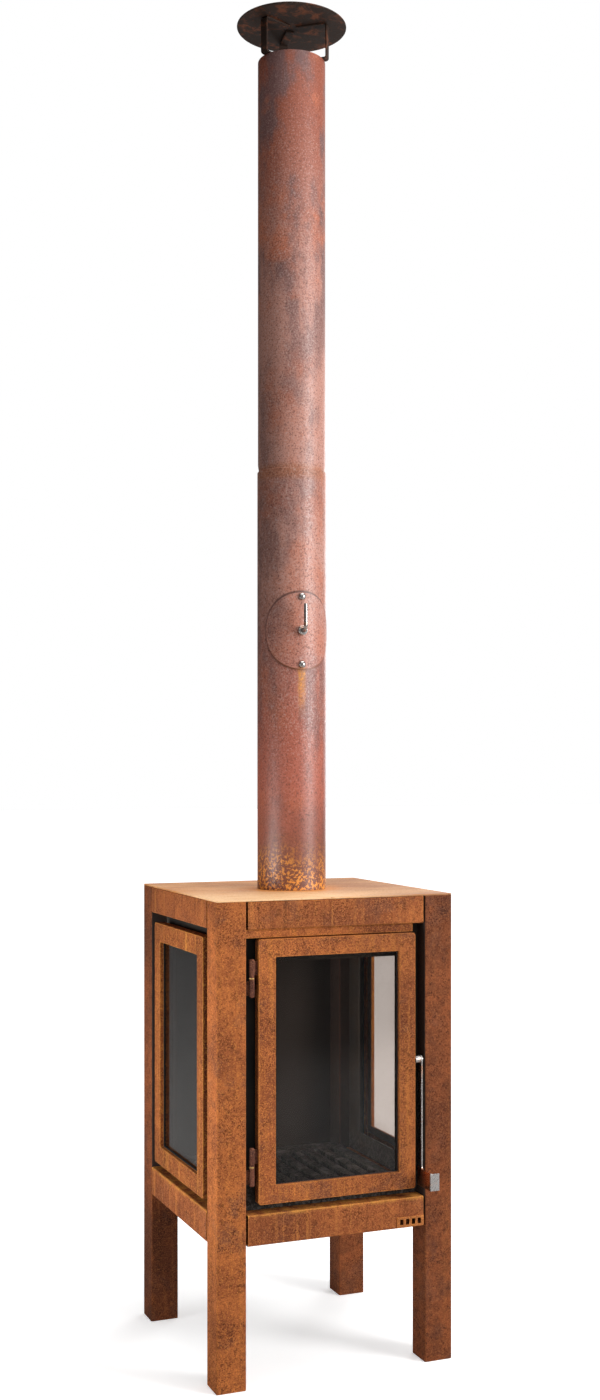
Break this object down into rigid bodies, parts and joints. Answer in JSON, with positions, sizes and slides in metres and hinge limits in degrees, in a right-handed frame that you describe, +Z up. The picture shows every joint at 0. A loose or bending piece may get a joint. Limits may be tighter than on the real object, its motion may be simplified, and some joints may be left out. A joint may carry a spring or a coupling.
{
  "type": "chiminea",
  "caption": "Square weathering-steel garden chiminea on four legs, with a hinged glass door, glass side windows, and a tall round flue with damper and rain cap.",
  "frame": {"origin": "on the ground, at the centre of the footprint with the handle's reach in it; the body's centre is 22.2 mm behind it", "axes": "+Z up along the flue, door facing -Y with its hinges on the -X side"},
  "size_m": [0.5, 0.5444, 2.7525],
  "materials": {
    "corten": "weathering steel with a matt, streaked rust skin",
    "corten_flue": "weathering steel with a finer, slightly satin rust skin",
    "corten_cap": "rusted steel, blackened by smoke",
    "sooty_steel": "matt black sheet darkened by soot",
    "grate_iron": "rough cast",
    "stainless": "plain drawn and sheet stainless, lightly stained",
    "brass": "turned",
    "glass": "clear ceramic glass",
    "gasket": "black woven fibre rope and tape"
  },
  "bodies": {
    "body": {"ash_pan": "sooty_steel", "badge_plate": "corten", "cap_strap_1": "corten_cap", "cap_strap_2": "corten_cap", "cap_strap_3": "corten_cap", "damper_bolt_lower": "stainless", "damper_bolt_upper": "stainless", "damper_bush": "stainless", "damper_cover": "corten_flue", "door_header": "corten", "fire_grate": "grate_iron", "flue_lower": "corten_flue", "flue_spigot": "corten_flue", "flue_upper": "corten_flue", "hearth_floor": "sooty_steel", "hinge_lower_leg_half": "corten", "hinge_lower_washer": "brass", "hinge_upper_leg_half": "corten", "hinge_upper_washer": "brass", "latch_striker": "stainless", "left_window_frame": "corten", "left_window_gasket": "gasket", "left_window_glass": "glass", "left_window_seal": "gasket", "liner_front": "sooty_steel", "liner_left": "sooty_steel", "liner_right": "sooty_steel", "lower_rail_front": "corten", "lower_rail_left": "corten", "lower_rail_rear": "corten", "lower_rail_right": "corten", "post_front_left": "corten", "post_front_right": "corten", "post_rear_left": "corten", "post_rear_right": "corten", "rain_cap": "corten_cap", "rear_panel": "corten", "right_window_frame": "corten", "right_window_gasket": "gasket", "right_window_glass": "glass", "right_window_seal": "gasket", "top_plate": "corten", "top_rail_front": "corten", "top_rail_left": "corten", "top_rail_rear": "corten", "top_rail_right": "corten"},
    "door": {"door_frame": "corten", "door_glass": "glass", "door_gasket": "gasket", "door_glass_retainer": "sooty_steel", "door_seal": "gasket", "hinge_upper_door_half": "corten", "hinge_lower_door_half": "corten", "handle_bush": "stainless", "handle_pivot_bolt": "stainless"},
    "handle": {"handle_lever": "stainless"},
    "damper": {"damper_lever": "stainless", "damper_plate": "sooty_steel"}
  },
  "joints": [
    {"name": "door_hinge", "type": "hinge", "parent": "body", "child": "door", "pos_m": [-0.178, -0.2238, 0.4], "axis": [0, 0, -1], "range_deg": [0, 110]},
    {"name": "handle_pivot", "type": "hinge", "parent": "door", "child": "handle", "pos_m": [0.182, -0.2218, 0.6085], "axis": [-1, 0, 0], "range_deg": [0, 80]},
    {"name": "damper_turn", "type": "hinge", "parent": "body", "child": "damper", "pos_m": [0, 0.0222, 1.4765], "axis": [0.0767, 0.9971, 0], "range_deg": [0, 90]}
  ]
}
